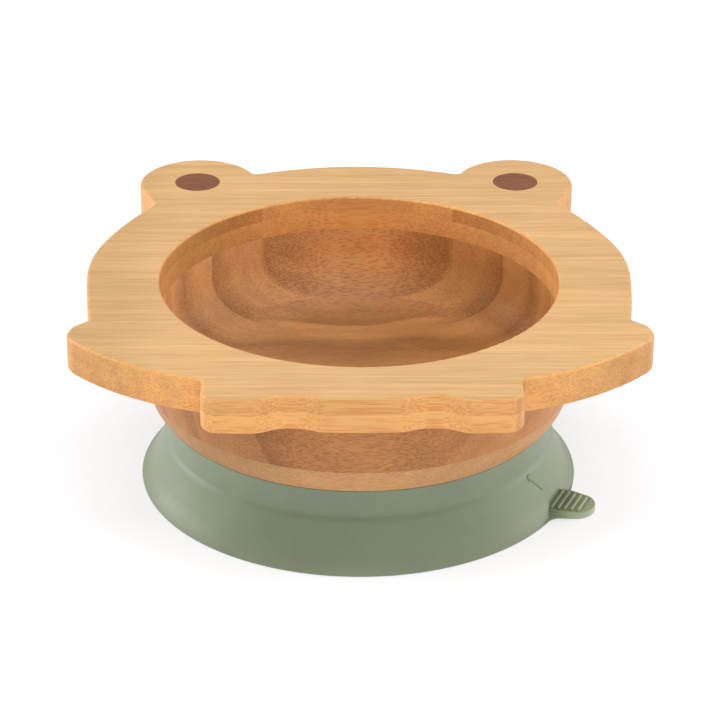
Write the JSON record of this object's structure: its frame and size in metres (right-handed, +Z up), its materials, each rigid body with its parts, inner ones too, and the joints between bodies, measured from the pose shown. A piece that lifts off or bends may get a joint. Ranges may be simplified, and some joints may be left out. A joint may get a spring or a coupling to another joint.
{
  "type": "suction bowl",
  "caption": "Round laminated bamboo bowl with a flat, eared animal-head rim plate, seated in a flared silicone suction base with a ribbed pull tab.",
  "frame": {"origin": "on the bowl's axis, at the table plane that the suction lip rests on", "axes": "+Z up along the bowl's axis; +Y towards the two ears of the rim plate, -Y towards its chin; +X to the right of the head seen from above with the ears away"},
  "size_m": [0.1766, 0.1785, 0.0677],
  "materials": {
    "bamboo_plate": "satin",
    "bamboo_stave": "satin",
    "bamboo_foot": "satin",
    "dark_inlay": "satin",
    "silicone": "matte"
  },
  "bodies": {
    "suction_base": {"suction_skirt": "silicone"},
    "bowl_seat": {"silicone_collar": "silicone"},
    "tab": {"pull_tab": "silicone"},
    "bowl": {"plate_upper_layer": "bamboo_plate", "plate_lower_layer": "bamboo_plate", "eye_inlay_left": "dark_inlay", "eye_inlay_right": "dark_inlay", "foot_board": "bamboo_foot", "stave_rear": "bamboo_stave", "stave_left_1": "bamboo_stave", "stave_right_1": "bamboo_stave", "stave_left_2": "bamboo_stave", "stave_right_2": "bamboo_stave", "stave_left_3": "bamboo_stave", "stave_right_3": "bamboo_stave", "stave_left_4": "bamboo_stave", "stave_right_4": "bamboo_stave", "stave_left_5": "bamboo_stave", "stave_right_5": "bamboo_stave", "stave_left_6": "bamboo_stave", "stave_right_6": "bamboo_stave", "stave_left_7": "bamboo_stave", "stave_right_7": "bamboo_stave", "stave_left_8": "bamboo_stave", "stave_right_8": "bamboo_stave", "stave_front": "bamboo_stave"}
  },
  "joints": [
    {"name": "press_down", "type": "slide", "parent": "suction_base", "child": "bowl_seat", "axis": [0, 0, 1], "range_m": [-0.0025, 0], "stiffness_N_per_m": 6000, "springref_m": 0.0015, "deforming": ["suction_skirt"]},
    {"name": "bowl_lift", "type": "slide", "parent": "bowl_seat", "child": "bowl", "axis": [0, 0, 1], "range_m": [0, 0.03]},
    {"name": "tab_lift", "type": "hinge", "parent": "suction_base", "child": "tab", "pos_m": [0.06462, -0.02743, 0.0025], "axis": [-0.3907, -0.9205, 0], "range_deg": [0, 60], "stiffness_Nm_per_rad": 0.02}
  ]
}
